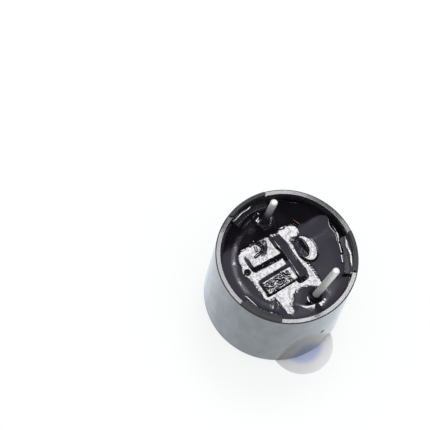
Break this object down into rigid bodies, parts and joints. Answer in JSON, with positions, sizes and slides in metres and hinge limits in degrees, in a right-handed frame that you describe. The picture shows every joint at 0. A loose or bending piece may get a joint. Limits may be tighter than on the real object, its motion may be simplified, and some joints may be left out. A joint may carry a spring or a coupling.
{
  "type": "electronic buzzer",
  "caption": "Round black through-hole buzzer lying on its sealed sound-hole side, with a paper pull tab, stand-off feet, potted back and slightly bent tinned pins.",
  "frame": {"origin": "on the case axis, at the outer face of the paper seal that the buzzer rests on", "axes": "+Z along the case axis from the sound-hole side to the pin side; +X from the negative pin towards the positive pin and the pull tab"},
  "size_m": [0.0137, 0.012, 0.0146],
  "materials": {
    "case_plastic": "glossy, moulded",
    "seal_paper": "matt film paper",
    "soft_iron": "plain",
    "inner_plastic": "moulded",
    "bonded_magnet": "dull dark grey",
    "enamelled_copper": "clear enamel",
    "board_laminate": "satin laminate",
    "chip_plastic": "moulded",
    "capacitor_ceramic": "matt",
    "resistor_ceramic": "matt",
    "diode_glass": "clear",
    "solder": "satin",
    "tinned_pin": "tinned, satin",
    "potting_resin": "glossy, cured resin"
  },
  "bodies": {
    "root": {"case": "case_plastic", "seal_label": "seal_paper", "diaphragm": "soft_iron", "diaphragm_weight": "soft_iron", "support_ring": "inner_plastic", "ring_magnet": "bonded_magnet", "yoke_plate": "soft_iron", "pole_core": "soft_iron", "bobbin": "inner_plastic", "coil_winding": "enamelled_copper", "circuit_board": "board_laminate", "drive_transistor": "chip_plastic", "chip_capacitor": "capacitor_ceramic", "bias_resistor": "resistor_ceramic", "clamp_diode": "diode_glass", "coil_lead_supply": "enamelled_copper", "coil_lead_collector": "enamelled_copper", "coil_lead_base": "enamelled_copper", "lead_solder_supply": "solder", "lead_solder_collector": "solder", "lead_solder_base": "solder", "negative_pin": "tinned_pin", "positive_pin": "tinned_pin", "negative_pin_solder": "solder", "positive_pin_solder": "solder", "potting": "potting_resin"}
  },
  "joints": []
}
